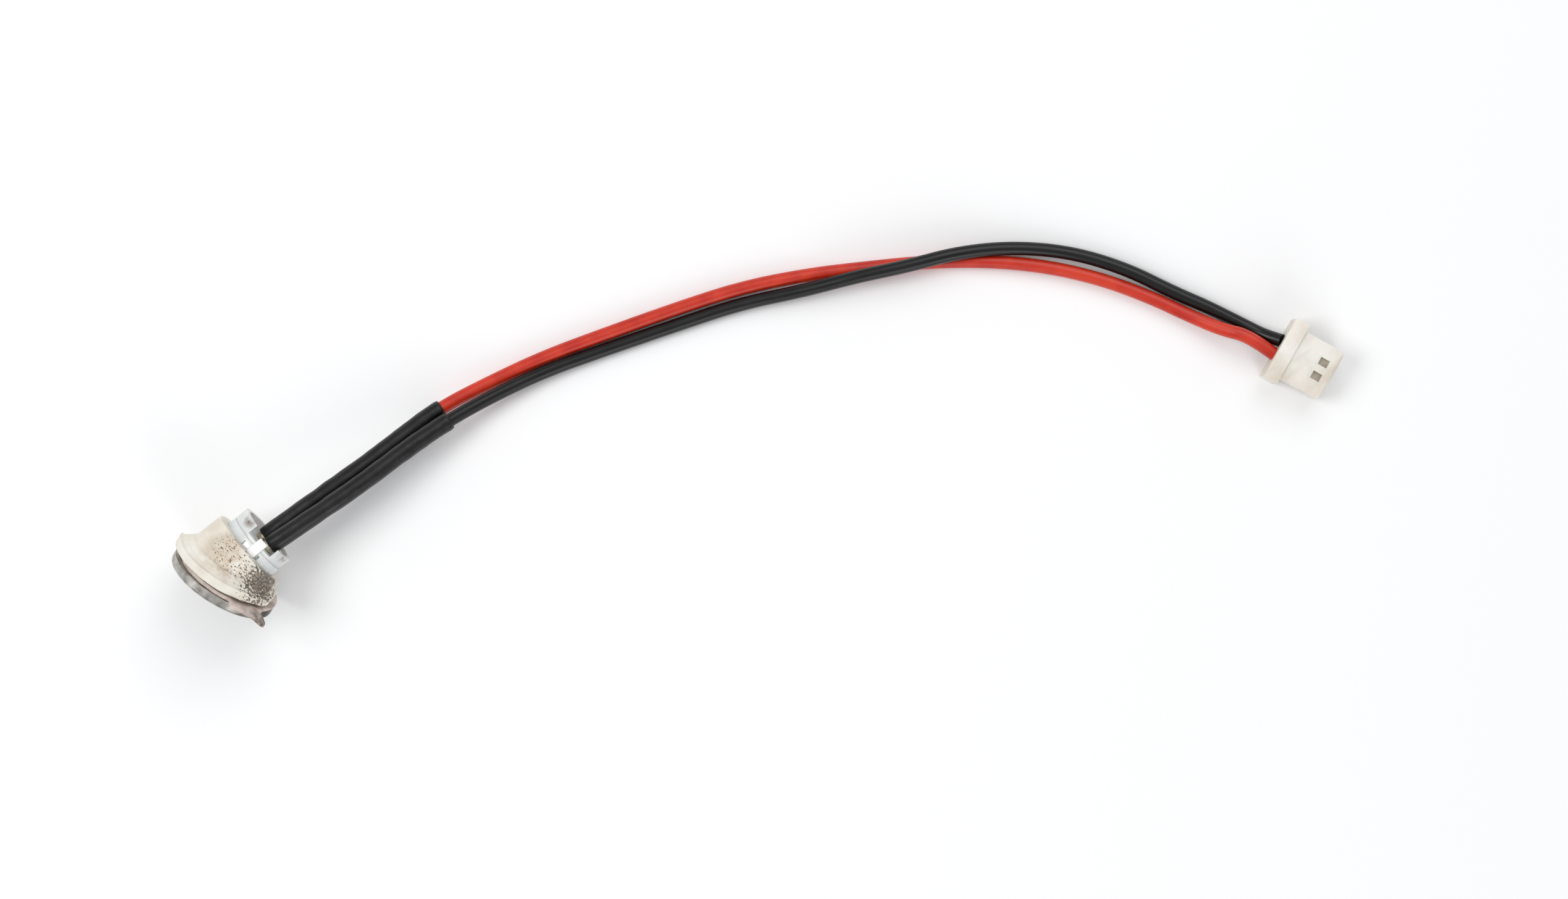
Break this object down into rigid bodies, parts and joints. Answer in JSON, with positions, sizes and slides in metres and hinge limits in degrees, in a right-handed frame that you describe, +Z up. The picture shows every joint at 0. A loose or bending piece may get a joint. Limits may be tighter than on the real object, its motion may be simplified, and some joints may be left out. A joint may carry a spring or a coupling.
{
  "type": "coin vibration motor",
  "caption": "Miniature coin vibration motor in an angled cream silicone boot, with sleeved red and black leads ending in a small wire-to-board plug.",
  "frame": {"origin": "on the surface that the motor lies on, under the middle of the box round the motor end without its lead and plug", "axes": "+Z up from the surface; +X along the boot's barrel, from the coin towards the leads; +Y to the barrel's left, the long side of the wedge"},
  "size_m": [0.0828, 0.0495, 0.0095],
  "materials": {
    "steel": "pressed nickel-plated steel",
    "washer": "thin plastic film",
    "magnet": "sintered magnet",
    "circuit": "flexible circuit",
    "contact_metal": "plated contact metal",
    "silicone": "cream silicone rubber",
    "tab_foam": "pale tape",
    "clear_plastic": "milky translucent moulding",
    "white_plastic": "white moulding",
    "solder": "solder",
    "shrink_sleeve": "black shrunk sleeve",
    "red_insulation": "red insulation",
    "black_insulation": "black insulation",
    "nylon": "natural nylon",
    "rotor_resin": "moulded resin",
    "copper": "copper",
    "tungsten": "sintered heavy metal"
  },
  "bodies": {
    "motor": {"can": "steel", "base_cup": "steel", "shaft": "steel", "upper_thrust_washer": "washer", "lower_thrust_washer": "washer", "ring_magnet": "magnet", "feeder_circuit": "circuit", "brush_a": "contact_metal", "brush_b": "contact_metal", "boot": "silicone", "tab_ring": "tab_foam", "rear_cap": "clear_plastic", "retaining_band": "steel", "strap": "white_plastic", "stub_pin": "contact_metal", "terminal_positive": "contact_metal", "terminal_negative": "contact_metal", "solder_positive": "solder", "solder_negative": "solder", "sleeve_red": "shrink_sleeve", "sleeve_black": "shrink_sleeve", "wire_red": "red_insulation", "wire_black": "black_insulation", "plug_housing": "nylon", "contact_red": "contact_metal", "contact_black": "contact_metal"},
    "rotor": {"rotor_frame": "rotor_resin", "coil_a": "copper", "coil_b": "copper", "counterweight": "tungsten", "commutator_board": "circuit", "bearing_bush": "copper"}
  },
  "joints": [
    {"name": "rotor_spin", "type": "hinge", "parent": "motor", "child": "rotor", "pos_m": [-0.00115, -0.0001, 0.00452], "axis": [0.9237, 0.2824, 0.2588], "continuous": true}
  ]
}
